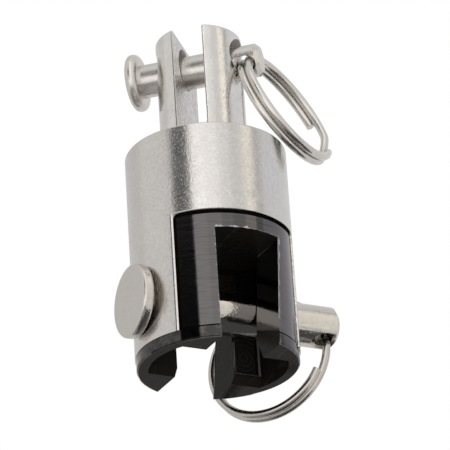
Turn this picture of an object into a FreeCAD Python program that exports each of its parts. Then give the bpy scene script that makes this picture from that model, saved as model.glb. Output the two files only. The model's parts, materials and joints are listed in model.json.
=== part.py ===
import FreeCAD, Part
import os
from math import atan, cos, degrees, radians, sin, sqrt

# Top swivel of a headsail furler: a fork hung from the halyard, a housing that turns under it on a thrust
# ball bearing, and a cross pin through the housing that carries the sail.
# Millimetres, +Z up. The origin is the centre of the fork's pin hole and +X is the fork pin's axis,
# towards the end that holds its split ring. While the pieces are made, Z = 0 is the housing's lower edge.

# Housing: a turned cup, closed at the top, with two cheeks left standing at the bottom
housing_radius = 15.0
housing_height = 40.3
housing_wall = 1.3
plate_thickness = 3.6
housing_edge = 0.4
window_half_angle = 53.0
window_corner = 1.2
# How far the housing is turned under the fork while the swivel hangs at rest
rest_angle = 42.5

# Fork: one turning with a stem, slotted into two ears
fork_radius = 8.1
fork_height = 23.3
fork_slot = 5.7
fork_base = 2.5
fork_edge = 0.5
fork_slot_edge = 0.2
slot_corner = 0.5
ear_hole_radius = 4.0
ear_hole_drop = 5.0
stem_radius = 4.5
thread_radius = 4.0
stem_end_margin = 0.4
stem_end_edge = 0.5

# Bearing under the top plate
bush_wall = 1.4
bush_flange_radius = 7.4
bush_flange = 0.8
race_thickness = 2.0
groove_depth = 0.5
ball_radius = 1.75
ball_count = 12
ball_inset = 4.8
race_side_gap = 1.05
cage_thickness = 1.2
cage_width = 4.8
seal_wire_radius = 0.75
washer_thickness = 0.8
washer_radius = 7.8

# Castle nut and split cotter that hold the stack
nut_height = 4.4
nut_sides = 6
nut_across_flats = 13.0
nut_edge = 0.6
nut_slot_width = 1.9
nut_slot_depth = 2.0
cotter_radius = 0.75
cotter_length = 14.5
cotter_eye_radius = 1.5
cotter_wire_radius = 0.45
cotter_leg = 2.6
cotter_leg_angle = 40.0

# Black luff insert that fills the housing below the bearing
stem_room = 1.1
insert_roof = 3.4
insert_wall = 0.9
flange_thickness = 2.2
flange_inset = 0.2
flange_edge = 0.25
window_lip = 0.8
panel_inset = 0.3
panel_gap = 0.7
panel_side_gap = 0.5
line_groove_width = 0.3
line_groove_depth = 0.35
cavity_front = 4.2
cavity_back = 4.8
front_lead_depth = 2.9
front_lead_height = 4.7
back_lead_depth = 1.2
back_lead_height = 1.3
slot_left = 5.9
slot_right_low = 5.5
slot_right_high = 7.3
slot_drop = 0.8
pocket_margin = 0.7
pocket_width = 4.6
pocket_height = 7.5
pocket_depth = 1.4
pocket_edge = 0.3

# Lower clevis pin
lower_pin_radius = 3.97
lower_pin_height = 8.8
lower_head_radius = 6.8
lower_head_thickness = 2.1
lower_head_edge = 0.6
lower_pin_reach = 9.0
lower_pin_edge = 0.8
lower_hole_radius = 1.75
lower_hole_reach = 6.5
lower_hole_angle = 70.0
lower_mouth_radius = 2.15

# Upper clevis pin
upper_pin_radius = 3.175
upper_head_radius = 5.5
upper_head_thickness = 2.3
upper_head_edge = 1.1
upper_head_play = 3.1
upper_pin_reach = 4.0
upper_pin_edge = 0.7
upper_hole_radius = 1.6
upper_hole_reach = 1.3
upper_hole_angle = 35.0
upper_mouth_radius = 1.75
score_inset = 1.6
score_depth = 0.12
score_width = 0.25

# Split rings: two close turns of spring wire with a step from one to the other
ring_radius = 11.6
ring_wire_radius = 0.75
ring_turn_gap = 0.04
ring_step_angle = 34.0
ring_step_points = 5
# Each ring's own place: where its step lies and how much later its lower turn starts, how far it swings
# about the cross hole, how it leans in the hole, and how far its wire lies from the hole's centre
lower_step_angle = -6.0
lower_tail_angle = 36.0
lower_swing_angle = 234.1
lower_lean_angle = 5.2
lower_tip_angle = -2.8
lower_ring_seat = 0.2
upper_step_angle = 207.0
upper_tail_angle = 16.0
upper_swing_angle = 297.0
upper_lean_angle = 0.0
upper_tip_angle = 0.0
upper_ring_seat = 0.22

# Clearances
running_gap = 0.05
fit_gap = 0.02
insert_gap = 0.1
head_gap = 0.15
ball_gap = 0.03
pocket_gap = 0.1
seal_gap = 0.05

# Heights that follow from the sizes above
bore_radius = housing_radius - housing_wall
ball_circle_radius = bore_radius - ball_inset
plate_under = housing_height - plate_thickness
upper_race_under = plate_under - race_thickness
race_gap = 2 * (ball_radius + ball_gap - groove_depth)
ball_height = upper_race_under - race_gap / 2
lower_race_top = upper_race_under - race_gap
lower_race_under = lower_race_top - race_thickness
washer_under = lower_race_under - washer_thickness
nut_under = washer_under - nut_height
stem_end = nut_under - stem_end_margin
cotter_height = nut_under + nut_slot_depth / 2
bush_outer_radius = stem_radius + running_gap + bush_wall
fork_under = housing_height + bush_flange + running_gap
fork_top = fork_under + fork_height
ear_hole_height = fork_top - ear_hole_drop
upper_pin_height = ear_hole_height - (ear_hole_radius - upper_pin_radius - fit_gap)
insert_radius = bore_radius - insert_gap
insert_top = stem_end - stem_room
insert_ceiling = insert_top - insert_roof
slot_top = insert_ceiling - slot_drop
window_height = insert_top - window_lip
cavity_radius = insert_radius - insert_wall
panel_radius = housing_radius - panel_inset
flange_radius = housing_radius - flange_inset
lower_pin_hole = lower_pin_radius + running_gap
lower_hole_station = housing_radius + lower_hole_reach
upper_hole_station = fork_radius + upper_hole_reach

X = FreeCAD.Vector(1, 0, 0)
Y = FreeCAD.Vector(0, 1, 0)
Z = FreeCAD.Vector(0, 0, 1)
CENTRE = FreeCAD.Vector(0, 0, 0)


def point(x, y, z):
    return FreeCAD.Vector(x, y, z)


def disc(radius, low, high):
    return Part.makeCylinder(radius, high - low, point(0, 0, low))


def tube(outer, inner, low, high):
    return disc(outer, low, high).cut(disc(inner, low, high))


def bar(radius, start, finish, height=0.0):
    """A round bar across the swivel, between two stations along X."""
    return Part.makeCylinder(radius, finish - start, point(start, 0, height), X)


def block(x_low, x_high, y_low, y_high, z_low, z_high):
    size = (x_high - x_low, y_high - y_low, z_high - z_low)
    return Part.makeBox(*size, point(x_low, y_low, z_low))


def rims(shape, radius, station, direction=Z):
    """The circular edges of one radius whose centres lie at one station along a direction."""
    found = []
    for edge in shape.Edges:
        curve = edge.Curve
        if not isinstance(curve, Part.Circle) or abs(curve.Radius - radius) > 1e-4:
            continue
        if abs(curve.Center.dot(direction) - station) < 1e-4:
            found.append(edge)
    return found


def uprights(shape, x_places):
    """The vertical edges that stand at one of some places along X."""
    found = []
    for edge in shape.Edges:
        ends = [vertex.Point for vertex in edge.Vertexes]
        if len(ends) < 2 or abs(ends[0].x - ends[1].x) > 1e-6 or abs(ends[0].y - ends[1].y) > 1e-6:
            continue
        if any(abs(ends[0].x - place) < 1e-4 for place in x_places):
            found.append(edge)
    return found


def sector(radius, half_angle, low, high):
    """A wedge about the front direction, -Y."""
    far = radius / cos(radians(half_angle)) + radius
    side = far * sin(radians(half_angle))
    depth = far * cos(radians(half_angle))
    corners = [point(0, 0, low), point(-side, -depth, low), point(side, -depth, low), point(0, 0, low)]
    return Part.Face(Part.makePolygon(corners)).extrude(Z * (high - low))


def turned_back(shape):
    """The same shape on the other side of the swivel's axis."""
    copy = shape.copy()
    copy.rotate(CENTRE, Z, 180)
    return copy


def hole_direction(angle):
    """The way out of a pin's cross hole, at an angle below the front direction."""
    return point(0, -cos(radians(angle)), -sin(radians(angle)))


def window_cutter():
    """The wedge that leaves the two cheeks, with rounded upper corners."""
    wedge = sector(2 * housing_radius, window_half_angle, -housing_edge, window_height)
    corners = []
    for edge in wedge.Edges:
        ends = [vertex.Point for vertex in edge.Vertexes]
        level = all(abs(end.z - window_height) < 1e-6 for end in ends)
        radial = min(end.Length for end in [point(e.x, e.y, 0) for e in ends]) < 1e-6
        if level and radial:
            corners.append(edge)
    return wedge.makeFillet(window_corner, corners)


def make_housing():
    cup = disc(housing_radius, 0, housing_height).cut(disc(bore_radius, 0, plate_under))
    cup = cup.cut(disc(bush_outer_radius + fit_gap, plate_under, housing_height))
    cup = cup.makeFillet(housing_edge, rims(cup, housing_radius, housing_height))
    window = window_cutter()
    cup = cup.cut(window).cut(turned_back(window))
    reach = housing_radius + housing_edge
    return cup.cut(bar(lower_pin_hole, -reach, reach, lower_pin_height))


def make_fork():
    head = disc(fork_radius, fork_under, fork_top)
    slot_floor = fork_under + fork_base
    slot = block(-fork_slot / 2, fork_slot / 2, -fork_radius, fork_radius, slot_floor, fork_top)
    floor_edges = []
    for edge in slot.Edges:
        ends = [vertex.Point for vertex in edge.Vertexes]
        low = all(abs(end.z - slot_floor) < 1e-6 for end in ends)
        if low and abs(ends[0].x - ends[1].x) < 1e-6:
            floor_edges.append(edge)
    head = head.cut(slot.makeFillet(slot_corner, floor_edges))
    head = head.makeFillet(fork_edge, rims(head, fork_radius, fork_top))
    head = head.makeChamfer(fork_slot_edge, uprights(head, (-fork_slot / 2, fork_slot / 2)))
    head = head.cut(bar(ear_hole_radius, -fork_radius, fork_radius, ear_hole_height))
    stem = disc(stem_radius, lower_race_under, fork_under)
    thread = disc(thread_radius, stem_end, lower_race_under)
    thread = thread.makeChamfer(stem_end_edge, rims(thread, thread_radius, stem_end))
    cotter_hole = bar(cotter_radius + fit_gap, -thread_radius, thread_radius, cotter_height)
    return head.fuse([stem, thread]).removeSplitter().cut(cotter_hole)


def make_bush():
    barrel = disc(bush_outer_radius, plate_under, housing_height)
    flange = disc(bush_flange_radius, housing_height, housing_height + bush_flange)
    bush = barrel.fuse(flange).removeSplitter()
    return bush.cut(disc(stem_radius + running_gap, plate_under, housing_height + bush_flange))


def make_seal():
    ring_radius = stem_radius + seal_gap + seal_wire_radius
    height = plate_under - seal_gap - seal_wire_radius
    return Part.makeTorus(ring_radius, seal_wire_radius, point(0, 0, height))


def ball_track():
    return Part.makeTorus(ball_circle_radius, ball_radius + ball_gap, point(0, 0, ball_height))


def make_upper_race():
    bore = stem_radius + 2 * (seal_gap + seal_wire_radius)
    race = tube(bore_radius - running_gap, bore, upper_race_under, plate_under)
    return race.cut(ball_track())


def make_lower_race():
    race = tube(bore_radius - race_side_gap, stem_radius + fit_gap, lower_race_under, lower_race_top)
    return race.cut(ball_track())


def make_cage():
    inner = ball_circle_radius - cage_width / 2
    outer = ball_circle_radius + cage_width / 2
    cage = tube(outer, inner, ball_height - cage_thickness / 2, ball_height + cage_thickness / 2)
    for centre in ball_centres():
        cage = cage.cut(Part.makeSphere(ball_radius + pocket_gap, centre))
    return cage


def ball_centres():
    centres = []
    for number in range(ball_count):
        turn = radians(360.0 * number / ball_count)
        centres.append(point(ball_circle_radius * cos(turn), ball_circle_radius * sin(turn), ball_height))
    return centres


def make_washer():
    return tube(washer_radius, thread_radius + fit_gap, washer_under, lower_race_under)


def make_nut():
    side_angle = 360.0 / nut_sides
    corner_radius = nut_across_flats / 2 / cos(radians(side_angle / 2))
    corners = []
    for number in range(nut_sides + 1):
        turn = radians(side_angle * number)
        corners.append(point(corner_radius * cos(turn), corner_radius * sin(turn), nut_under))
    body = Part.Face(Part.makePolygon(corners)).extrude(Z * nut_height)
    blank = disc(corner_radius, nut_under, washer_under)
    ends = rims(blank, corner_radius, nut_under) + rims(blank, corner_radius, washer_under)
    body = body.common(blank.makeChamfer(nut_edge, ends))
    body = body.cut(disc(thread_radius + fit_gap, nut_under, washer_under))
    half = nut_slot_width / 2
    for number in range(nut_sides // 2):
        slot = block(-corner_radius, corner_radius, -half, half, nut_under, nut_under + nut_slot_depth)
        slot.rotate(CENTRE, Z, side_angle * number)
        body = body.cut(slot)
    return body


def make_cotter():
    shank = bar(cotter_radius, -cotter_length / 2, cotter_length / 2, cotter_height)
    eye_centre = point(-cotter_length / 2 - cotter_eye_radius, 0, cotter_height)
    eye = Part.makeTorus(cotter_eye_radius, cotter_wire_radius, eye_centre)
    legs = []
    for side in (-1, 1):
        lean = radians(cotter_leg_angle) * side
        along = point(cos(lean), sin(lean), 0)
        start = point(cotter_length / 2 - cotter_radius, 0, cotter_height)
        legs.append(Part.makeCylinder(cotter_wire_radius, cotter_leg, start, along))
    return shank.fuse([eye] + legs)


def insert_panel():
    """The raised face that fills one window of the housing, nearly flush with it."""
    side_gap = degrees(atan(panel_side_gap / panel_radius))
    wedge = sector(2 * housing_radius, window_half_angle - side_gap, -flange_thickness, window_height)
    panel = disc(panel_radius, -flange_thickness, window_height - panel_gap).common(wedge)
    line = tube(2 * housing_radius, panel_radius - line_groove_depth, 0, line_groove_width)
    return panel.cut(line)


def insert_slot():
    """The luff slot, cut from front to back and open below, with its right-hand wall leaning outwards."""
    rise = slot_top + flange_thickness
    spread = slot_right_high - slot_right_low
    below = slot_top - 2 * rise
    front = -2 * housing_radius
    outline = [
        point(-slot_left, front, below),
        point(slot_right_high - 2 * spread, front, below),
        point(slot_right_high, front, slot_top),
        point(-slot_left, front, slot_top),
        point(-slot_left, front, below),
    ]
    return Part.Face(Part.makePolygon(outline)).extrude(Y * 4 * housing_radius)


def insert_cavity():
    """The room around the pin, flat at the front and back and round at the sides."""
    room = disc(cavity_radius, -flange_thickness, insert_ceiling)
    reach = 2 * housing_radius
    return room.common(block(-reach, reach, -cavity_front, cavity_back, -flange_thickness, insert_ceiling))


def lead_in(wall, depth, height):
    """A slope along the lower edge of one of the cavity's flat walls, opening it downwards."""
    low = -flange_thickness
    outline = [
        point(-cavity_radius, wall, low),
        point(-cavity_radius, wall + depth, low),
        point(-cavity_radius, wall, low + height),
        point(-cavity_radius, wall, low),
    ]
    slope = Part.Face(Part.makePolygon(outline)).extrude(X * 2 * cavity_radius)
    return slope.common(disc(cavity_radius, low, insert_ceiling))


def insert_pocket():
    """The square recess in the rear wall, right of the slot, with a bevelled rim."""
    left = slot_right_low + pocket_margin
    right = left + pocket_width
    low = -flange_thickness + back_lead_height + pocket_margin
    high = low + pocket_height
    mouth = (left - pocket_edge, cavity_back, low - pocket_edge, low, left)
    inner = (right + pocket_edge, cavity_back + pocket_edge, high + pocket_edge, high, right)
    recess = block(left, right, cavity_back, cavity_back + pocket_depth, low, high)
    return recess.fuse(Part.makeWedge(*mouth, *inner))


def make_insert():
    body = disc(insert_radius, 0, insert_top)
    flange = disc(flange_radius, -flange_thickness, 0)
    flange = flange.makeChamfer(flange_edge, rims(flange, flange_radius, -flange_thickness))
    panel = insert_panel()
    solid = body.fuse([flange, panel, turned_back(panel)]).removeSplitter()
    solid = solid.cut(insert_cavity()).cut(insert_slot())
    solid = solid.cut(lead_in(-cavity_front, -front_lead_depth, front_lead_height))
    solid = solid.cut(lead_in(cavity_back, back_lead_depth, back_lead_height)).cut(insert_pocket())
    reach = housing_radius
    return solid.cut(bar(lower_pin_hole + insert_gap, -reach, reach, lower_pin_height))


def cross_hole(pin_radius, hole_radius, mouth_radius, station, angle):
    """A pin's cross hole for its split ring, countersunk at both mouths, for a pin along the X axis."""
    direction = hole_direction(angle)
    middle = point(station, 0, 0)
    reach = pin_radius + mouth_radius
    drill = Part.makeCylinder(hole_radius, 2 * reach, middle - direction * reach, direction)
    depth = mouth_radius - hole_radius
    wall = sqrt(pin_radius ** 2 - mouth_radius ** 2)
    cutters = [drill]
    for way in (direction, direction * -1):
        start = middle + way * (wall - depth)
        flare = Part.makeCone(hole_radius, hole_radius + reach, reach, start, way)
        cutters.append(flare)
    return cutters


def clevis_pin(radius, head_inner, head, end, edge, cutters):
    """A pin along the X axis, its head on the -X side and its bevelled end on the +X side."""
    head_radius, head_thickness, head_edge = head
    head_outer = head_inner - head_thickness
    shank = bar(radius, head_inner, end)
    shank = shank.makeChamfer(edge, rims(shank, radius, end, X))
    button = bar(head_radius, head_outer, head_inner)
    both = rims(button, head_radius, head_outer, X) + rims(button, head_radius, head_inner, X)
    button = button.makeFillet(head_edge, both)
    pin = shank.fuse(button).removeSplitter()
    for cutter in cutters:
        pin = pin.cut(cutter)
    return pin


def make_lower_pin():
    head = (lower_head_radius, lower_head_thickness, lower_head_edge)
    hole = cross_hole(
        lower_pin_radius, lower_hole_radius, lower_mouth_radius, lower_hole_station, lower_hole_angle
    )
    head_inner = -housing_radius - head_gap
    end = housing_radius + lower_pin_reach
    pin = clevis_pin(lower_pin_radius, head_inner, head, end, lower_pin_edge, hole)
    pin.translate(Z * lower_pin_height)
    return pin


def make_upper_pin():
    head = (upper_head_radius, upper_head_thickness, upper_head_edge)
    hole = cross_hole(
        upper_pin_radius, upper_hole_radius, upper_mouth_radius, upper_hole_station, upper_hole_angle
    )
    score_start = -fork_slot / 2 + score_inset
    score = bar(upper_pin_radius, score_start, score_start + score_width)
    core = bar(upper_pin_radius - score_depth, score_start, score_start + score_width)
    cutters = hole + [score.cut(core)]
    head_inner = -fork_radius - upper_head_play
    end = fork_radius + upper_pin_reach
    pin = clevis_pin(upper_pin_radius, head_inner, head, end, upper_pin_edge, cutters)
    pin.translate(Z * upper_pin_height)
    return pin


def split_ring(step_at, tail):
    """Two turns of wire about Z. The lower one starts after its tail and steps up to the upper one."""
    half_pitch = ring_wire_radius + ring_turn_gap / 2
    step_from = step_at - ring_step_angle / 2
    step_to = step_at + ring_step_angle / 2
    turns = []
    for level, delay in ((-half_pitch, tail), (half_pitch, 0.0)):
        section = Part.Circle(point(ring_radius, 0, level), Y, ring_wire_radius)
        face = Part.Face(Part.Wire(section.toShape()))
        turn = face.revolve(CENTRE, Z, 360 - ring_step_angle - delay)
        turn.rotate(CENTRE, Z, step_to + delay)
        turns.append(turn)
    path_points = []
    for number in range(ring_step_points):
        share = number / (ring_step_points - 1)
        turn = radians(step_from + ring_step_angle * share)
        level = -half_pitch * cos(radians(180 * share))
        path_points.append(point(ring_radius * cos(turn), ring_radius * sin(turn), level))
    ways = []
    for turn in (radians(step_from), radians(step_to)):
        ways.append(point(-sin(turn), cos(turn), 0))
    curve = Part.BSplineCurve()
    curve.interpolate(Points=path_points, InitialTangent=ways[0], FinalTangent=ways[1])
    mouth = Part.Circle(path_points[0], ways[0], ring_wire_radius)
    step = Part.Wire(curve.toShape()).makePipeShell([Part.Wire(mouth.toShape())], True, False)
    return turns[0].fuse([step, turns[1]])


def hung_ring(ring, hole_middle, hole_angle, swing, lean, tip, seat):
    """Threads a split ring through a cross hole, swung about the hole and leaning in it."""
    through = hole_direction(hole_angle)
    across = through.cross(X)
    inwards = X * cos(radians(swing)) + across * sin(radians(swing))
    leaning = FreeCAD.Rotation(inwards.cross(through), lean)
    inwards = leaning.multVec(inwards)
    through = FreeCAD.Rotation(inwards, tip).multVec(leaning.multVec(through))
    outwards = inwards * -1
    turn = FreeCAD.Rotation(outwards, through, outwards.cross(through), "ZXY")
    centre = hole_middle + inwards * (ring_radius - seat)
    ring.Placement = FreeCAD.Placement(centre, turn)
    return ring


def make_lower_ring():
    return hung_ring(
        split_ring(lower_step_angle, lower_tail_angle),
        point(lower_hole_station, 0, lower_pin_height),
        lower_hole_angle,
        lower_swing_angle,
        lower_lean_angle,
        lower_tip_angle,
        lower_ring_seat,
    )


def make_upper_ring():
    return hung_ring(
        split_ring(upper_step_angle, upper_tail_angle),
        point(upper_hole_station, 0, upper_pin_height),
        upper_hole_angle,
        upper_swing_angle,
        upper_lean_angle,
        upper_tip_angle,
        upper_ring_seat,
    )


def export(name, shape, turn=0.0):
    """Writes one piece, turned about the swivel's axis and moved to the origin at the fork's hole."""
    piece = shape.copy()
    piece.rotate(CENTRE, Z, turn)
    piece.translate(Z * -ear_hole_height)
    piece.exportStep("parts/" + name + ".step")


os.makedirs("parts", exist_ok=True)

export("top_fork", make_fork())
export("upper_clevis_pin", make_upper_pin())
export("upper_split_ring", make_upper_ring())
export("lower_race", make_lower_race())
export("plain_washer", make_washer())
export("castle_nut", make_nut())
export("cotter_pin", make_cotter())
export("ball_cage", make_cage())
for index, ball_centre in enumerate(ball_centres()):
    export("thrust_ball_%02d" % (index + 1), Part.makeSphere(ball_radius, ball_centre))
export("swivel_housing", make_housing(), rest_angle)
export("plate_bush", make_bush(), rest_angle)
export("seal_ring", make_seal(), rest_angle)
export("upper_race", make_upper_race(), rest_angle)
export("luff_insert", make_insert(), rest_angle)
export("lower_clevis_pin", make_lower_pin(), rest_angle)
export("lower_split_ring", make_lower_ring(), rest_angle)
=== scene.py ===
import bmesh
import bpy
import json
import random
from math import cos, radians, sin, sqrt
from mathutils import Matrix, Vector


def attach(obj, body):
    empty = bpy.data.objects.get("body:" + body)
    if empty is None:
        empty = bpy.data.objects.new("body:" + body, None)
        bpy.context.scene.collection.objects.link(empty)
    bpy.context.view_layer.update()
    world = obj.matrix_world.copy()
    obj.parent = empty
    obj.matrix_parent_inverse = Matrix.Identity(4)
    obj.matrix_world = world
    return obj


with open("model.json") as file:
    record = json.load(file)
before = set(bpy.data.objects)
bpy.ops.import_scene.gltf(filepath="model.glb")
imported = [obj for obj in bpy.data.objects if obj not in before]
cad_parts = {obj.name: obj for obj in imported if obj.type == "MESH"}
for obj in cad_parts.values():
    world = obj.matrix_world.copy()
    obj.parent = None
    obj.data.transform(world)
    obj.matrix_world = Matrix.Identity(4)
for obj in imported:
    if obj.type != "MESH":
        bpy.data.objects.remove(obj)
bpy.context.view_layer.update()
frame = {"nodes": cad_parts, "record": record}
nodes = frame["nodes"]
scene = bpy.context.scene

# Sizes
# In millimetres. Those of the housing, the insert and the lower pin are in axes that turn with the housing,
# with X across its windows and Y to the back, and heights are from the part's origin
MILLIMETRE = 0.001
# How far the housing is turned under the fork at rest, as in the part's source
REST_TURN = radians(42.5)
# The housing's lower edge, and the radius past which the insert's face is a turned one
LOWER_EDGE = -59.45
OUTSIDE_RADIUS = 14.5
# The sail's slot in the insert: its walls at the top, its top, and how far its right wall leans
SLOT_LEFT = 5.9
SLOT_RIGHT = 7.3
SLOT_TOP = LOWER_EDGE + 19.24
SLOT_LEAN = 1.8 / 21.44
# The stretch of the slot's top edge that is torn: its middle and half its length. Then the torn marks: their
# width, how much narrower they are at the left edge, how ragged, and how far above the slot they reach
TORN_MIDDLE = 0.7
TORN_HALF = 6.8
TORN_WIDTH = 0.2
TORN_LEFT_NARROWER = 0.12
TORN_RAGGED = 1.5
TORN_ABOVE = 0.5
# The burrs round the slot's mouth: the panel they stand on, how far apart their points are, how far they
# are sunk, how far they reach over the face, into the wall, past the edge and out from the face, and the
# height where the side ones end
PANEL_RADIUS = 14.7
BURR_STEP = 0.25
BURR_SUNK = 0.03
BURR_LAP = 0.55
BURR_ROOT = 0.25
BURR_TIP = 0.3
BURR_LIFT = 0.26
BURR_LOW = LOWER_EDGE + 3.0
# How large the burrs are on average where they are heavy, how much their waves add to that, what share of it
# they have elsewhere, and the least share of its size that chance leaves to a point
BURR_MEAN = 0.55
BURR_WAVE = 0.45
BURR_THIN = 0.3
BURR_LEAST = 0.45
BURR_SEED = 11
# The patch of the slot's right wall that the sail's shackle has polished: how deep it counts, where it ends
# behind, its lower edge there, how soft that edge is, how it rises from the front to the back, and its share
# of the plastic's roughness
WALL_DEPTH = 0.08
WALL_BACK = -4.1
WALL_LOW = LOWER_EDGE + 4.6
WALL_FADE = 0.4
WALL_RISE = 0.4
WALL_ROUGHNESS = 0.5
# The pocket in the wall behind the slot: its middle, at the wall's face, its half sizes across and up, and
# the middle and half depth of its rim and of its floor, from the face
POCKET_X = 8.5
POCKET_Y = 4.8
POCKET_Z = -55.9
POCKET_HALF_WIDTH = 2.75
POCKET_HALF_HEIGHT = 4.25
POCKET_RIM = (0.15, 0.14)
POCKET_FLOOR = (1.4, 0.1)
# The middle of the arcs that the end mill left on the faces inside, and how many lie in a millimetre, there
# and on the pocket's floor
ARC_X = 6.0
ARC_Z = LOWER_EDGE + 2.0
ARC_PITCH = 0.42
CIRCLE_PITCH = 1.1
# A patch of chatter marks on the housing: its middle round and up the housing, its half sizes, and how deep
# it is against the rest of the skin
CHATTER_AT = (-1.2, -33.6)
CHATTER_SIZE = (8.5, 2.0)
CHATTER_DEPTH = 1.8
# The housing's windows: half their angle, their upper edge, how wide their edge is rounded, and how many
# times narrower that is at the top
WINDOW_ANGLE = radians(53.0)
WINDOW_TOP = LOWER_EDGE + 22.64
WINDOW_EDGE_WIDTH = 0.65
WINDOW_TOP_NARROWER = 2.0
# Half the fork's slot, how wide its edge is rounded, how deep the grinding marks in it are against the rest
# of the skin, and the radius and dullness of the pin's holes through its ears
FORK_SLOT_HALF = 2.85
FORK_EDGE_WIDTH = 0.4
GRIND_DEPTH = 7.0
PIN_HOLE_RADIUS = 4.0
PIN_HOLE_DULLNESS = 0.5
# The lower pin's axis, half the length of it that the sail's shackle has burnished, and that stretch's share
# of the pin's roughness
LOWER_PIN_Z = LOWER_EDGE + 8.8
WORN_HALF = 6.5
WORN_ROUGHNESS = 0.45
# How far past a wall's face a mark still counts as on that wall
FACE_MARGIN = 0.1
BORE_MARGIN = 0.06

# Depths of the finest relief, in metres
HOUSING_SKIN = 0.00006
WINDOW_EDGE_DEPTH = 0.00023
TURNED_SKIN = 0.00005
TURNED_WAVES = 0.00012
FORK_EDGE_DEPTH = 0.0002
WIRE_SKIN = 0.00003
PLASTIC_SKIN = 0.00004
PLASTIC_WAVES = 0.0001
INNER_SKIN = 0.00002

# Colours: the steels and their tarnish, then the insert's turned outside, milled inside and torn edges
STEEL = (0.71, 0.69, 0.672)
FORK = (0.77, 0.75, 0.73)
PIN = (0.70, 0.675, 0.64)
LOWER_PIN = (0.65, 0.62, 0.585)
WIRE = (0.69, 0.665, 0.63)
# The lower ring's wire is darker than the upper one's as painted shade, for the darker studio below it
SHADED_LOWER_WIRE = (0.58, 0.55, 0.515)
HOUSING_TARNISH = (0.60, 0.57, 0.53)
TURNED_TARNISH = (0.60, 0.57, 0.52)
RING_LIGHT = (0.135, 0.127, 0.129)
RING_DARK = (0.07, 0.066, 0.068)
RING_LINE = (0.03, 0.028, 0.028)
FLANGE = (0.02, 0.019, 0.019)
MILLED = (0.0115, 0.0094, 0.0076)
MILLED_ARC = (0.03, 0.027, 0.024)
FLOOR_CIRCLE = (0.044, 0.041, 0.038)
RIM = (0.12, 0.112, 0.104)
POLISHED_WALL = (0.13, 0.122, 0.118)
TORN_MARK = (0.24, 0.235, 0.23)
TORN_BURR = (0.32, 0.315, 0.32)

# Camera
# The camera that fits the photograph: its place in metres, its axes, its lens, and how near and far it sees
CAMERA_AT = Vector((0.136799, -0.501283, -0.278428))
CAMERA_RIGHT = Vector((0.956845, 0.284478, -0.059331))
CAMERA_UP = Vector((0.173272, -0.394603, 0.902367))
LENS = 249.416
SENSOR = 36.0
CLIP_START = 0.01
CLIP_END = 20.0

camera_data = bpy.data.cameras.new("camera")
camera_data.lens = LENS
camera_data.sensor_width = SENSOR
camera_data.clip_start = CLIP_START
camera_data.clip_end = CLIP_END
camera = bpy.data.objects.new("camera", camera_data)
scene.collection.objects.link(camera)
back = CAMERA_RIGHT.cross(CAMERA_UP)
axes = Matrix((CAMERA_RIGHT, CAMERA_UP, back)).transposed()
camera.matrix_world = Matrix.Translation(CAMERA_AT) @ axes.to_4x4()
scene.camera = camera


# Shader helpers
def darker(colour, share):
    """A colour at a share of its brightness."""
    return tuple(value * share for value in colour)


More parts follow.
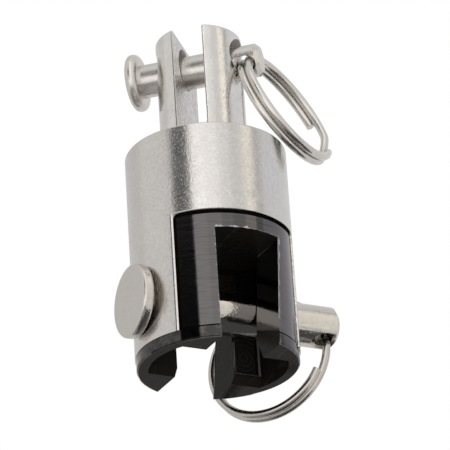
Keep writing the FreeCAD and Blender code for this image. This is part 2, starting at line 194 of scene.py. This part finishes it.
class Graph:
    """A material and a short way to add and link its nodes."""

    def __init__(self, name):
        self.material = bpy.data.materials.new(name)
        self.material.use_nodes = True
        self.tree = self.material.node_tree
        self.bsdf = self.tree.nodes["Principled BSDF"]

    def node(self, kind, **settings):
        made = self.tree.nodes.new(kind)
        for name, value in settings.items():
            setattr(made, name, value)
        return made

    def put(self, value, socket):
        """Sets a socket to a number or colour, or links another socket to it."""
        if isinstance(value, bpy.types.NodeSocket):
            self.tree.links.new(value, socket)
        else:
            socket.default_value = value

    def math(self, operation, first, second=0.0, third=0.0):
        made = self.node("ShaderNodeMath", operation=operation)
        for value, socket in zip((first, second, third), made.inputs):
            self.put(value, socket)
        return made.outputs[0]

    def plus(self, first, second):
        return self.math("ADD", first, second)

    def minus(self, first, second):
        return self.math("SUBTRACT", first, second)

    def times(self, first, *others):
        for other in others:
            first = self.math("MULTIPLY", first, other)
        return first

    def absolute(self, value):
        return self.math("ABSOLUTE", value)

    def less(self, value, limit):
        """One where a value is under a limit, and nothing elsewhere."""
        return self.math("LESS_THAN", value, limit)

    def near(self, value, middle, reach):
        """One where a value lies within a reach of a middle, and nothing elsewhere."""
        return self.math("COMPARE", value, middle, reach)

    def rest(self, share):
        """What a share leaves of one."""
        return self.minus(1.0, share)

    def length(self, first, second):
        """How far a point is from the origin in a plane."""
        return self.math("SQRT", self.plus(self.times(first, first), self.times(second, second)))

    def place(self):
        """The point in the part's frame, in millimetres."""
        made = self.node("ShaderNodeVectorMath", operation="SCALE")
        self.put(self.node("ShaderNodeTexCoord").outputs["Object"], made.inputs[0])
        made.inputs["Scale"].default_value = 1.0 / MILLIMETRE
        return made.outputs[0]

    def turned(self, vector, angle, level=0.0):
        """The point seen from axes turned about Z by an angle, with their origin at a height."""
        made = self.node("ShaderNodeMapping", vector_type="POINT")
        self.put(vector, made.inputs["Vector"])
        made.inputs["Rotation"].default_value = (0.0, 0.0, -angle)
        made.inputs["Location"].default_value = (0.0, 0.0, -level)
        return made.outputs[0]

    def split(self, vector):
        made = self.node("ShaderNodeSeparateXYZ")
        self.put(vector, made.inputs[0])
        return made.outputs

    def joined(self, x, y, z):
        made = self.node("ShaderNodeCombineXYZ")
        for value, socket in zip((x, y, z), made.inputs):
            self.put(value, socket)
        return made.outputs[0]

    def noise(self, vector, scale, detail=3.0, roughness=0.5):
        """Cloudy noise; its scale is about how many clouds lie along one unit of the vector."""
        made = self.node("ShaderNodeTexNoise")
        self.put(vector, made.inputs["Vector"])
        made.inputs["Scale"].default_value = scale
        made.inputs["Detail"].default_value = detail
        made.inputs["Roughness"].default_value = roughness
        return made.outputs[0]

    def drawn_noise(self, vector, stretch, scale=1.0, detail=3.0, roughness=0.5):
        """Noise that is finer along some axes than along others."""
        made = self.node("ShaderNodeVectorMath", operation="MULTIPLY")
        self.put(vector, made.inputs[0])
        made.inputs[1].default_value = stretch
        return self.noise(made.outputs[0], scale, detail, roughness)

    def ramp(self, value, *stops):
        """A piecewise value along another value; each stop is a place and a grey."""
        made = self.node("ShaderNodeValToRGB")
        self.put(value, made.inputs[0])
        points = made.color_ramp.elements
        while len(points) < len(stops):
            points.new(0.5)
        for point, (place, grey) in zip(points, stops):
            point.position = place
            point.color = (grey, grey, grey, 1.0)
        return made.outputs[0]

    def spots(self, value, low, high):
        """Nothing up to the low value, and all from the high one on."""
        return self.ramp(value, (0.0, 0.0), (low, 0.0), (high, 1.0))

    def stripes(self, value, low, high):
        """A stripe in each whole step of a value, which starts at low and is full at high."""
        return self.ramp(self.math("FRACT", value), (0.0, 0.0), (low, 0.0), (high, 1.0), (1.0, 0.0))

    def scale_to(self, value, low, high, new_low, new_high):
        """Takes the range from low to high to a new range, and holds the value inside that."""
        made = self.node("ShaderNodeMapRange")
        for number, socket in zip((value, low, high, new_low, new_high), made.inputs):
            self.put(number, socket)
        return made.outputs[0]

    def mix(self, share, first, second):
        made = self.node("ShaderNodeMix", data_type="RGBA")
        self.put(share, made.inputs["Factor"])
        for value, socket in ((first, made.inputs[6]), (second, made.inputs[7])):
            if isinstance(value, tuple):
                value = (*value, 1.0)
            self.put(value, socket)
        return made.outputs[2]

    def bump(self, height, distance, strength=1.0, below=None):
        made = self.node("ShaderNodeBump")
        self.put(height, made.inputs["Height"])
        made.inputs["Distance"].default_value = distance
        made.inputs["Strength"].default_value = strength
        if below is not None:
            self.put(below, made.inputs["Normal"])
        return made.outputs[0]

    def rounded(self, from_edge, depth, below):
        """A normal that falls away towards an edge; from_edge is nothing there and one where it ends."""
        fall = self.math("POWER", self.rest(from_edge), 2.0)
        return self.bump(self.times(fall, -1.0), depth, 1.0, below)

    def finish(self, **values):
        for name, value in values.items():
            socket = self.bsdf.inputs[name.replace("_", " ")]
            if isinstance(value, tuple):
                value = (*value, 1.0)
            self.put(value, socket)
        return self.material


# Materials
def chatter_height(g, skin, around, z):
    """A patch of chatter marks, in clusters that fade out from its middle."""
    away_u = g.math("DIVIDE", g.minus(around, CHATTER_AT[0]), CHATTER_SIZE[0])
    away_v = g.math("DIVIDE", g.minus(z, CHATTER_AT[1]), CHATTER_SIZE[1])
    clusters = g.scale_to(g.noise(skin, 0.45, 1.0, 0.5), 0.42, 0.55, 0.0, 1.0)
    patch = g.times(g.scale_to(g.length(away_u, away_v), 0.3, 1.0, 1.0, 0.0), clusters)
    return g.times(g.drawn_noise(skin, (1.3, 4.0, 1.0), detail=2.0), patch, CHATTER_DEPTH)


def from_window(g, x, y, z):
    """How far a point is from the nearest window's edge, as a share of the edge's rounding."""
    across = g.math("ARCTAN2", g.absolute(x), g.absolute(y))
    beside = g.math("MAXIMUM", g.times(g.minus(across, WINDOW_ANGLE), OUTSIDE_RADIUS), 0.0)
    above = g.times(g.math("MAXIMUM", g.minus(z, WINDOW_TOP), 0.0), WINDOW_TOP_NARROWER)
    return g.math("MINIMUM", g.math("DIVIDE", g.length(beside, above), WINDOW_EDGE_WIDTH), 1.0)


def housing_steel():
    """Satin stainless bar: a finely dented skin, dull specks, a patch of chatter, rounded window edges."""
    g = Graph("housing_steel")
    x, y, z = g.split(g.turned(g.place(), REST_TURN))
    around = g.times(g.math("ARCTAN2", x, g.times(y, -1.0)), OUTSIDE_RADIUS)
    skin = g.joined(around, z, g.length(x, y))
    peel = g.noise(skin, 2.3, 2.0, 0.55)
    drags = g.drawn_noise(skin, (2.2, 0.35, 1.0))
    dents = g.spots(g.drawn_noise(skin, (3.4, 2.2, 1.0), detail=2.0), 0.6, 0.7)
    clouds = g.noise(skin, 0.2, 4.0, 0.6)
    specks = g.spots(g.noise(skin, 3.6, 2.0, 0.5), 0.64, 0.72)
    polish = g.plus(g.times(clouds, 0.6), g.times(peel, 0.4))
    roughness = g.scale_to(polish, 0.3, 0.7, 0.16, 0.25)
    tint = g.mix(g.times(specks, 0.3), STEEL, darker(STEEL, 0.6))
    tint = g.mix(g.scale_to(drags, 0.35, 0.65, 0.0, 0.12), tint, darker(STEEL, 0.8))
    tint = g.mix(g.scale_to(peel, 0.35, 0.65, 0.0, 0.34), tint, darker(STEEL, 0.72))
    tint = g.mix(g.scale_to(clouds, 0.4, 0.65, 0.0, 0.25), tint, HOUSING_TARNISH)
    relief = g.plus(g.times(peel, 0.43), g.times(drags, 0.2))
    relief = g.minus(relief, g.times(dents, 0.2))
    relief = g.plus(relief, chatter_height(g, skin, around, z))
    normal = g.rounded(from_window(g, x, y, z), WINDOW_EDGE_DEPTH, g.bump(relief, HOUSING_SKIN, 0.8))
    return g.finish(Base_Color=tint, Metallic=1.0, Roughness=roughness, Normal=normal)


def turned_steel(name, colour, rough, axis="Z", turn=0.0, level=0.0, slot=0.0, burnished=0.0):
    """Stainless steel from the lathe: fine rings round its axis and on its faces, drag marks, uneven polish.

    A fork has half the width of its slot, whose walls show grinding marks. A pin can have a burnished
    stretch, given as half its length.
    """
    g = Graph(name)
    place = g.turned(g.place(), turn, level)
    x, y, z = g.split(place)
    along, first, second = (x, y, z) if axis == "X" else (z, x, y)
    drag = (0.3, 2.2, 2.2) if axis == "X" else (2.2, 2.2, 0.3)
    radius = g.length(first, second)
    rings = g.noise(g.joined(g.times(along, 4.0), g.times(radius, 4.0), 0.0), 1.0, 4.0, 0.7)
    drags = g.drawn_noise(place, drag)
    clouds = g.noise(place, 0.35, 4.0, 0.6)
    peel = g.noise(place, 2.4, 2.0, 0.5)
    scratches = g.spots(g.drawn_noise(place, (0.6, 2.6, 1.2), 1.2, 2.0, 0.4), 0.6, 0.68)
    polish = g.plus(g.times(clouds, 0.7), g.times(drags, 0.3))
    roughness = g.scale_to(polish, 0.3, 0.7, rough - 0.04, rough + 0.07)
    metal = 1.0
    tint = g.mix(g.scale_to(drags, 0.35, 0.65, 0.0, 0.16), colour, darker(colour, 0.78))
    tint = g.mix(g.scale_to(clouds, 0.42, 0.62, 0.0, 0.25), tint, TURNED_TARNISH)
    tint = g.mix(g.times(scratches, 0.2), tint, darker(colour, 0.6))
    relief = g.plus(g.times(rings, 0.2), g.times(peel, 0.45))
    relief = g.minus(relief, g.times(scratches, 0.3))
    if slot:
        across = g.absolute(x)
        inside = g.less(across, slot + FACE_MARGIN)
        slant = g.joined(0.0, g.plus(y, z), g.minus(z, y))
        marks = g.drawn_noise(slant, (1.0, 0.35, 1.5), 1.0, 4.0, 0.65)
        relief = g.plus(relief, g.times(marks, inside, GRIND_DEPTH))
        tint = g.mix(g.times(g.scale_to(marks, 0.4, 0.6, 0.1, 0.8), inside), tint, darker(colour, 0.7))
        bore = g.times(g.less(g.length(y, z), PIN_HOLE_RADIUS + BORE_MARGIN), PIN_HOLE_DULLNESS)
        roughness = g.math("MAXIMUM", roughness, bore)
        metal = g.rest(bore)
    if burnished:
        worn = g.less(g.absolute(along), burnished)
        roughness = g.times(roughness, g.scale_to(worn, 0.0, 1.0, 1.0, WORN_ROUGHNESS))
    normal = g.bump(clouds, TURNED_WAVES, 0.3, g.bump(relief, TURNED_SKIN, 0.8))
    if slot:
        from_edge = g.scale_to(across, slot, slot + FORK_EDGE_WIDTH, 0.0, 1.0)
        normal = g.rounded(g.math("MAXIMUM", from_edge, inside), FORK_EDGE_DEPTH, normal)
    return g.finish(Base_Color=tint, Metallic=metal, Roughness=roughness, Normal=normal)


def wire_steel(name, colour):
    """Drawn spring wire: smooth and bright, with faint drawing lines and a light tarnish."""
    g = Graph(name)
    place = g.place()
    lines = g.drawn_noise(place, (1.6, 1.6, 0.4), 1.6)
    clouds = g.noise(place, 0.4, 3.0, 0.6)
    roughness = g.scale_to(clouds, 0.3, 0.7, 0.15, 0.25)
    tint = g.mix(g.scale_to(lines, 0.35, 0.65, 0.0, 0.25), colour, darker(colour, 0.8))
    return g.finish(Base_Color=tint, Metallic=1.0, Roughness=roughness, Normal=g.bump(lines, WIRE_SKIN, 0.6))


def from_right_wall(g, x, z):
    """How far a point is from the slot's leaning right wall."""
    lean = g.times(g.minus(SLOT_TOP, z), SLOT_LEAN)
    return g.absolute(g.plus(g.minus(x, SLOT_RIGHT), lean))


def polished_wall(g, x, y, z, outside):
    """The patch of the slot's right wall that the sail's shackle has polished."""
    wall = g.times(g.less(from_right_wall(g, x, z), WALL_DEPTH), g.rest(outside), g.less(y, WALL_BACK))
    over = g.minus(z, g.times(g.minus(y, WALL_BACK), WALL_RISE))
    return g.times(wall, g.scale_to(over, WALL_LOW - WALL_FADE, WALL_LOW + WALL_FADE, 0.0, 1.0))


def torn_marks(g, place, x, z, outside):
    """Pale torn marks along the edges of the slot's mouth, in patches."""
    past_top = g.math("GREATER_THAN", g.absolute(g.minus(x, TORN_MIDDLE)), TORN_HALF)
    from_top = g.plus(g.absolute(g.minus(z, SLOT_TOP)), past_top)
    from_left = g.plus(g.absolute(g.plus(x, SLOT_LEFT)), TORN_LEFT_NARROWER)
    from_edge = g.math("MINIMUM", from_left, g.math("MINIMUM", from_right_wall(g, x, z), from_top))
    ragged = g.plus(from_edge, g.times(g.minus(g.noise(place, 1.7, 4.0, 0.7), 0.5), TORN_RAGGED))
    torn = g.times(g.less(ragged, TORN_WIDTH), outside, g.less(z, SLOT_TOP + TORN_ABOVE))
    return g.times(torn, g.scale_to(g.noise(place, 0.55, 1.0, 0.5), 0.42, 0.56, 0.15, 1.0))


def milled_colour(g, x, y, z, clouds):
    """The faces that the end mill cut: faint arcs, and the pocket with its pale rim and circles."""
    swing = g.length(g.minus(x, ARC_X), g.minus(z, ARC_Z))
    arcs = g.times(g.stripes(g.times(swing, ARC_PITCH), 0.86, 0.94), g.scale_to(clouds, 0.4, 0.6, 0.0, 1.0))
    milled = g.mix(g.times(arcs, 0.7), MILLED, MILLED_ARC)
    pocket = g.times(g.near(x, POCKET_X, POCKET_HALF_WIDTH), g.near(z, POCKET_Z, POCKET_HALF_HEIGHT))
    rim = g.times(pocket, g.near(y, POCKET_Y + POCKET_RIM[0], POCKET_RIM[1]))
    floor = g.times(pocket, g.near(y, POCKET_Y + POCKET_FLOOR[0], POCKET_FLOOR[1]))
    swing = g.length(g.minus(x, POCKET_X), g.minus(z, POCKET_Z))
    circles = g.stripes(g.times(swing, CIRCLE_PITCH), 0.7, 0.85)
    circles = g.times(circles, g.scale_to(clouds, 0.38, 0.6, 0.3, 1.0))
    milled = g.mix(g.times(floor, g.scale_to(circles, 0.0, 1.0, 0.25, 1.0)), milled, FLOOR_CIRCLE)
    return g.mix(rim, milled, RIM)


def black_acetal():
    """Black plastic: turned rings on the outside, smooth milled faces inside, pale torn edges at the slot.

    The turned outside is so glossy that it shows the studio as dark metal would.
    """
    g = Graph("black_acetal")
    place = g.turned(g.place(), REST_TURN)
    x, y, z = g.split(place)
    outside = g.math("GREATER_THAN", g.length(x, y), OUTSIDE_RADIUS)
    height_only = g.joined(0.0, 0.0, z)
    breaks = g.drawn_noise(place, (0.16, 0.16, 3.0), 1.5)
    marks = g.times(g.noise(height_only, 3.4, 6.0, 0.8), g.scale_to(breaks, 0.35, 0.65, 0.3, 1.0))
    lines = g.spots(g.noise(height_only, 2.6, 2.0, 0.5), 0.6, 0.64)
    lines = g.times(lines, g.scale_to(breaks, 0.45, 0.6, 0.0, 1.0))
    clouds = g.noise(place, 0.45, 4.0, 0.6)
    grit = g.noise(place, 5.0, 3.0, 0.6)
    wall = polished_wall(g, x, y, z, outside)
    torn = torn_marks(g, place, x, z, outside)

    rough_out = g.scale_to(marks, 0.2, 0.7, 0.025, 0.05)
    rough_in = g.scale_to(clouds, 0.3, 0.7, 0.16, 0.30)
    roughness = g.plus(g.times(rough_out, outside), g.times(rough_in, g.rest(outside)))
    roughness = g.times(roughness, g.scale_to(wall, 0.0, 1.0, 1.0, WALL_ROUGHNESS))

    turned = g.mix(g.scale_to(marks, 0.25, 0.6, 0.0, 0.6), RING_LIGHT, RING_DARK)
    turned = g.mix(g.times(lines, 0.7), turned, RING_LINE)
    flange = g.times(g.less(z, LOWER_EDGE), g.scale_to(clouds, 0.4, 0.58, 0.3, 0.7))
    turned = g.mix(flange, turned, FLANGE)
    inner = g.mix(wall, milled_colour(g, x, y, z, clouds), POLISHED_WALL)
    colour = g.mix(torn, g.mix(outside, inner, turned), TORN_MARK)

    relief = g.plus(g.times(marks, outside, 0.2), g.times(grit, torn, 2.0))
    fine = g.bump(relief, PLASTIC_SKIN, 0.8)
    normal = g.bump(g.times(clouds, g.rest(outside)), PLASTIC_WAVES, 0.1, fine)
    return g.finish(
        Base_Color=colour,
        Metallic=g.math("MAXIMUM", outside, wall),
        Roughness=roughness,
        Normal=normal,
        Specular_IOR_Level=0.03,
    )


def plain(name, colour, rough, metal=0.0, grain=6.0):
    """A finish with only a fine grain, for the pieces inside and the burrs."""
    g = Graph(name)
    grit = g.noise(g.place(), grain, 4.0, 0.6)
    tint = g.mix(g.scale_to(grit, 0.3, 0.7, 0.0, 0.3), colour, darker(colour, 0.7))
    roughness = g.scale_to(grit, 0.3, 0.7, rough - 0.05, rough + 0.08)
    normal = g.bump(grit, INNER_SKIN, 0.4)
    return g.finish(Base_Color=tint, Metallic=metal, Roughness=roughness, Normal=normal)


finishes = {
    "housing_steel": housing_steel(),
    "fork_steel": turned_steel("fork_steel", FORK, 0.13, slot=FORK_SLOT_HALF),
    "pin_steel": turned_steel("pin_steel", PIN, 0.23, "X"),
    "lower_pin_steel": turned_steel(
        "lower_pin_steel", LOWER_PIN, 0.17, "X", REST_TURN, LOWER_PIN_Z, burnished=WORN_HALF
    ),
    "ring_steel": wire_steel("ring_steel", WIRE),
    # The lower ring: the same wire, with painted shade in its colour
    "lower_ring_shaded_steel": wire_steel("lower_ring_shaded_steel", SHADED_LOWER_WIRE),
    "insert_plastic": black_acetal(),
}
# The finishes of the pieces inside: their colour, how rough and how metallic they are
INNER_FINISHES = {
    "inner_steel": ((0.55, 0.55, 0.54), 0.3, 1.0),
    "race_steel": ((0.66, 0.66, 0.67), 0.15, 1.0),
    "ball_steel": ((0.75, 0.75, 0.76), 0.06, 1.0),
    "cage_brass": ((0.72, 0.55, 0.26), 0.3, 1.0),
    "bush_plastic": ((0.03, 0.03, 0.03), 0.45, 0.0),
    "seal_rubber": ((0.02, 0.02, 0.02), 0.6, 0.0),
}
for name, values in INNER_FINISHES.items():
    finishes[name] = plain(name, *values)
# Pieces that share a material slot with the upper pin or ring but are darker; the lower ring's darker wire
# is painted shade
OWN_FINISH = {"lower_clevis_pin": "lower_pin_steel", "lower_split_ring": "lower_ring_shaded_steel"}
for part in frame["record"]["subparts"]:
    finish = OWN_FINISH.get(part["node"], part["material_slot"])
    for slot in nodes[part["node"]].material_slots:
        slot.material = finishes[finish]


# Burrs
def burr_size(share, heavy_until, waves):
    """How large the burr is along its edge: wavy, and small past its heavy stretch."""
    heavy = 1.0 if share < heavy_until else BURR_THIN
    return heavy * max(0.0, BURR_MEAN + BURR_WAVE * sin(waves * share))


def torn_strip(corners, faces, side, edge, draw):
    """Adds one closed ragged strip along an edge: roots on the face and in the wall, and a torn tip."""
    start, end, hang, heavy_until, waves, scale = edge
    length = sqrt((end[0] - start[0]) ** 2 + (end[1] - start[1]) ** 2)
    count = round(length / BURR_STEP)
    base = len(corners)
    for step in range(count + 1):
        share = step / count
        x = start[0] + (end[0] - start[0]) * share
        z = start[1] + (end[1] - start[1]) * share
        swell = scale * burr_size(share, heavy_until, waves) * draw.uniform(BURR_LEAST, 1.0)
        point = Vector((x, side * sqrt(PANEL_RADIUS ** 2 - x * x), z))
        out = Vector((x, point.y, 0.0)).normalized()
        corners.append(point - hang * (BURR_SUNK + BURR_LAP * swell) - out * BURR_SUNK)
        reach = BURR_TIP * swell * draw.random() - BURR_SUNK
        corners.append(point + hang * reach + out * (BURR_LIFT * swell - BURR_SUNK))
        corners.append(point - hang * BURR_SUNK - out * BURR_ROOT)
    for step in range(count):
        first = base + 3 * step
        for a, b in ((0, 1), (1, 2), (2, 0)):
            faces.append((first + a, first + b, first + 3 + b, first + 3 + a))
    faces.append((base, base + 1, base + 2))
    faces.append((len(corners) - 3, len(corners) - 2, len(corners) - 1))


def slot_burrs():
    """The pale torn fringe that the cutter left round the slot's mouth, front and back."""
    draw = random.Random(BURR_SEED)
    top_left = (-SLOT_LEFT, SLOT_TOP)
    top_right = (SLOT_RIGHT, SLOT_TOP)
    right_low = (SLOT_RIGHT - (SLOT_TOP - BURR_LOW) * SLOT_LEAN, BURR_LOW)
    down = Vector((0.0, 0.0, -1.0))
    inward = Vector((-1.0, 0.0, 0.0))
    # Each edge: its ends, which way its burr hangs, how far it is heavy, its waves, and its size
    edges = (
        (top_left, top_right, down, 0.46, 31.0, 1.0),
        (top_right, right_low, inward, 0.35, 37.0, 0.5),
    )
    corners = []
    faces = []
    for side in (-1.0, 1.0):
        for edge in edges:
            torn_strip(corners, faces, side, edge, draw)
    turn = Matrix.Rotation(REST_TURN, 4, "Z") @ Matrix.Scale(MILLIMETRE, 4)
    mesh = bpy.data.meshes.new("slot_burrs")
    mesh.from_pydata([tuple(turn @ corner) for corner in corners], [], faces)
    shell = bmesh.new()
    shell.from_mesh(mesh)
    bmesh.ops.recalc_face_normals(shell, faces=shell.faces)
    shell.to_mesh(mesh)
    shell.free()
    mesh.materials.append(plain("torn_plastic", TORN_BURR, 0.5, 0.0, 3.0))
    piece = bpy.data.objects.new("slot_burrs", mesh)
    scene.collection.objects.link(piece)
    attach(piece, "swivel_body")


slot_burrs()

# Stage and light
# In metres. The floor lies well under the swivel, which hangs. Only the camera sees it lifted towards white
STUDIO_MIDDLE = Vector((0.0, 0.0, -0.03))
FLOOR_HEIGHT = -0.75
FLOOR_HALF = 6.0
FLOOR_LIFT = 0.3
WHITE = (1.0, 1.0, 1.0)
BLACK = (0.0, 0.0, 0.0)
FLOOR_COLOUR = (0.9, 0.9, 0.9)
ROOM_LIGHT = (0.78, 0.77, 0.755)
NEUTRAL = (1.0, 0.985, 0.97)
WARM = (1.0, 0.96, 0.87)
COOL = (0.975, 0.965, 1.0)
# How far the panels stand: the usual ones, one in front of them, and those that must stay above the floor
FAR = 1.6
NEARER = 1.5
LOW = 0.68
# Each panel: its name, its azimuths and elevations in degrees, its tint, its glow and its distance
PANELS = (
    ("card_left", (-160, -92), (-28, 75), NEUTRAL, 0.68, FAR),
    ("flag_front_left", (-34, -8), (25, 37), NEUTRAL, 0.15, FAR),
    ("flag_left_low", (-36, -7), (17, 25), NEUTRAL, 0.03, NEARER),
    ("flag_low_fade", (-34, -8), (6, 19), NEUTRAL, 0.4, FAR),
    ("flag_high_fade", (-34, -8), (37, 46), NEUTRAL, 0.45, FAR),
    ("softbox_top_left", (-34, -8), (60, 75), NEUTRAL, 0.9, FAR),
    ("softbox_low_left", (-34, -9), (-28, 0), NEUTRAL, 1.25, FAR),
    ("softbox_front", (-9, 12), (-28, 75), NEUTRAL, 1.32, FAR),
    ("softbox_middle", (12, 33), (-28, 75), NEUTRAL, 1.18, FAR),
    ("softbox_edge", (33, 50), (-28, 75), NEUTRAL, 0.95, FAR),
    ("softbox_right", (69, 86), (-28, 75), WARM, 1.1, FAR),
    ("card_right", (86, 98), (-28, 75), NEUTRAL, 0.52, FAR),
    ("card_far_right", (98, 165), (-8, 75), COOL, 0.8, FAR),
    ("flag_below", (60, 200), (-66, -42), NEUTRAL, 0.07, LOW),
    ("card_front_below", (-160, 60), (-66, -34), NEUTRAL, 0.34, LOW),
    ("flag_under", (0, 360), (-90, -66), NEUTRAL, 0.07, LOW),
)
# About how many degrees a panel's facets are wide and high
FACET_WIDTH = 8
FACET_HEIGHT = 10
# Each lamp: its name, its azimuth and elevation in degrees, its distance and width, and its power in watts
LAMPS = (
    ("key", 20, 40, 1.0, 0.6, 6.0),
    ("fill", -80, 20, 1.2, 0.8, 3.0),
)


def stage_mesh(name, corners, quads, material):
    """A surface of the studio."""
    mesh = bpy.data.meshes.new(name)
    mesh.from_pydata([tuple(corner) for corner in corners], [], quads)
    mesh.materials.append(material)
    made = bpy.data.objects.new(name, mesh)
    scene.collection.objects.link(made)
    return made


def pale_floor():
    """A plain matt floor that keeps the object's shadow."""
    g = Graph("floor")
    lift = g.times(g.node("ShaderNodeLightPath").outputs["Is Camera Ray"], FLOOR_LIFT)
    g.finish(Base_Color=FLOOR_COLOUR, Roughness=0.9, Specular_IOR_Level=0.0)
    g.finish(Emission_Color=WHITE, Emission_Strength=lift)
    signs = ((-1, -1), (1, -1), (1, 1), (-1, 1))
    corners = [(x * FLOOR_HALF, y * FLOOR_HALF, FLOOR_HEIGHT) for x, y in signs]
    stage_mesh("floor", corners, [(0, 1, 2, 3)], g.material)


def towards(azimuth, elevation, distance):
    """A point seen from the object at an azimuth, 0 in front and 90 at the right, and an elevation."""
    a, e = radians(azimuth), radians(elevation)
    return STUDIO_MIDDLE + Vector((sin(a) * cos(e), -cos(a) * cos(e), sin(e))) * distance


def panel(name, azimuths, elevations, tint, glow, distance):
    """A curved, evenly glowing panel round the object that only its reflections show."""
    columns = max(1, round((azimuths[1] - azimuths[0]) / FACET_WIDTH))
    rows = max(1, round((elevations[1] - elevations[0]) / FACET_HEIGHT))
    corners = []
    for row in range(rows + 1):
        elevation = elevations[0] + (elevations[1] - elevations[0]) * row / rows
        for column in range(columns + 1):
            azimuth = azimuths[0] + (azimuths[1] - azimuths[0]) * column / columns
            corners.append(towards(azimuth, elevation, distance))
    quads = []
    for row in range(rows):
        for column in range(columns):
            first = row * (columns + 1) + column
            quads.append((first, first + 1, first + columns + 2, first + columns + 1))
    g = Graph(name)
    g.finish(Base_Color=BLACK, Specular_IOR_Level=0.0, Emission_Color=tint, Emission_Strength=glow)
    made = stage_mesh(name, corners, quads, g.material)
    made.visible_camera = False
    made.visible_diffuse = False
    made.visible_shadow = False


def studio_world():
    """Even pale light all round, which the camera sees as white."""
    world = bpy.data.worlds.new("studio")
    world.use_nodes = True
    scene.world = world
    tree = world.node_tree
    tree.nodes.clear()
    output = tree.nodes.new("ShaderNodeOutputWorld")
    blend = tree.nodes.new("ShaderNodeMixShader")
    path = tree.nodes.new("ShaderNodeLightPath")
    tree.links.new(path.outputs["Is Camera Ray"], blend.inputs[0])
    for colour, socket in ((ROOM_LIGHT, blend.inputs[1]), (WHITE, blend.inputs[2])):
        light = tree.nodes.new("ShaderNodeBackground")
        light.inputs["Color"].default_value = (*colour, 1.0)
        tree.links.new(light.outputs[0], socket)
    tree.links.new(blend.outputs[0], output.inputs[0])


def lamp(name, azimuth, elevation, distance, size, power):
    """A square softbox turned to the object."""
    data = bpy.data.lights.new(name, "AREA")
    data.shape = "SQUARE"
    data.size = size
    data.energy = power
    made = bpy.data.objects.new(name, data)
    scene.collection.objects.link(made)
    made.location = towards(azimuth, elevation, distance)
    aim = STUDIO_MIDDLE - made.location
    made.rotation_mode = "QUATERNION"
    made.rotation_quaternion = aim.to_track_quat("-Z", "Y")
    made.visible_glossy = False


pale_floor()
for values in PANELS:
    panel(*values)
studio_world()
for values in LAMPS:
    lamp(*values)

scene.view_settings.view_transform = "Standard"
